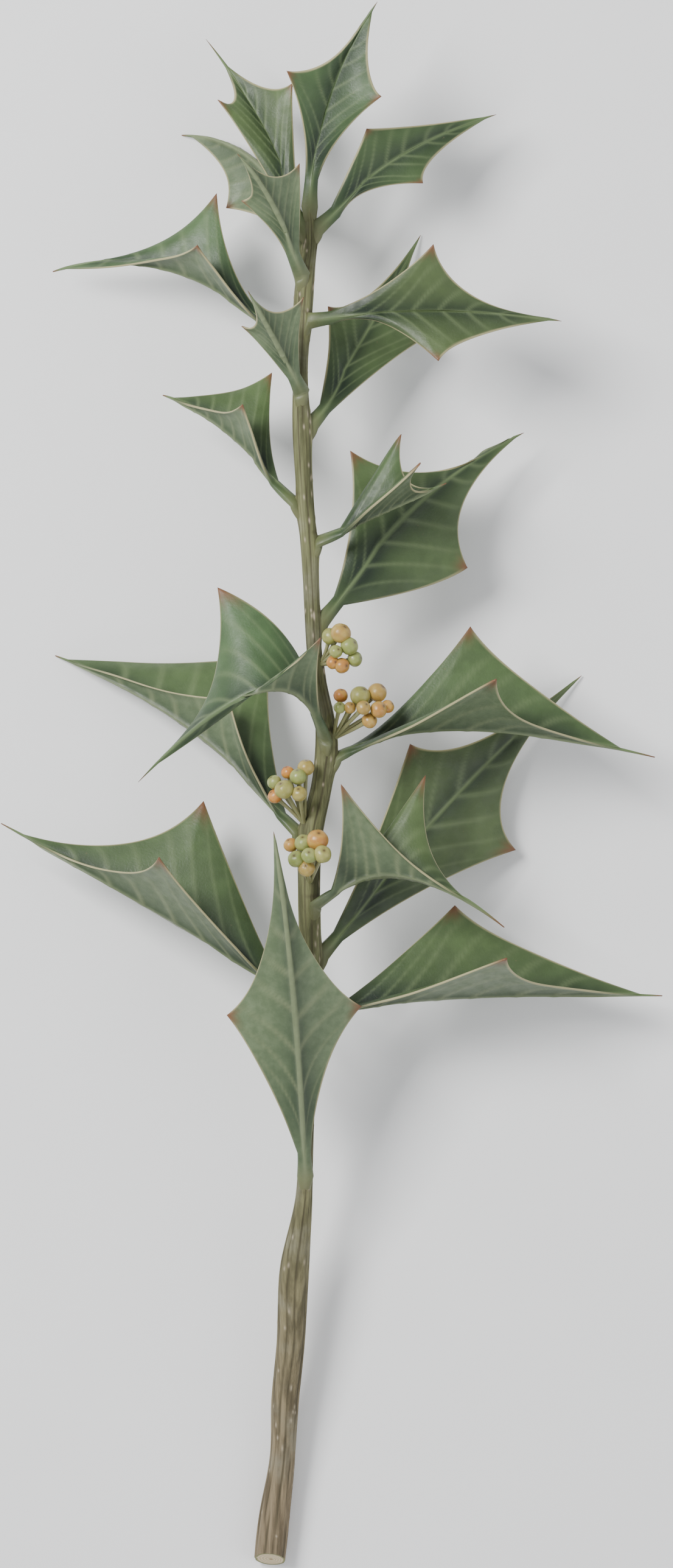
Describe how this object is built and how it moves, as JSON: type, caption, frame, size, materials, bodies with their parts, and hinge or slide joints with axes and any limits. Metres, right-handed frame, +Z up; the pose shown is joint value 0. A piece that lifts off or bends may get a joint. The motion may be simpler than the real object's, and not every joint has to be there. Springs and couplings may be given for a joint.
{
  "type": "jodina rhombifolia sprig",
  "caption": "Cut fruiting sprig of Jodina rhombifolia lying down: S-curved stem, stiff rhombic leaves that end in spines, and small clusters of round fruit in their axils.",
  "frame": {"origin": "middle of the sprig's outline seen from above, at the height of the surface that it lies on", "axes": "+Y along the sprig from the cut end to the tip leaf, +X across it, +Z up from the surface that it lies on"},
  "size_m": [0.1092, 0.2574, 0.0422],
  "materials": {
    "bark": "matt young bark, olive grey-green",
    "leaf": "leathery, faint sheen, grey-green",
    "fruit": "smooth skin, soft sheen, yellow-green"
  },
  "bodies": {
    "root": {"stem": "bark", "leaf_01_front": "leaf", "leaf_02_right": "leaf", "leaf_03_left": "leaf", "leaf_04_right_back": "leaf", "leaf_05_right_front": "leaf", "leaf_06_left_back": "leaf", "leaf_07_right": "leaf", "leaf_08_left_front": "leaf", "leaf_09_right_back": "leaf", "leaf_10_right_front": "leaf", "leaf_11_left": "leaf", "leaf_12_right_back": "leaf", "leaf_13_left_front": "leaf", "leaf_14_left": "leaf", "leaf_15_right_front": "leaf", "leaf_16_left_front": "leaf", "leaf_17_left_back": "leaf", "leaf_18_right": "leaf", "leaf_19_left_top": "leaf", "leaf_20_tip": "leaf", "fruit_1_right": "fruit", "fruit_2_right": "fruit", "fruit_3_left": "fruit", "fruit_4_front": "fruit"}
  },
  "joints": []
}
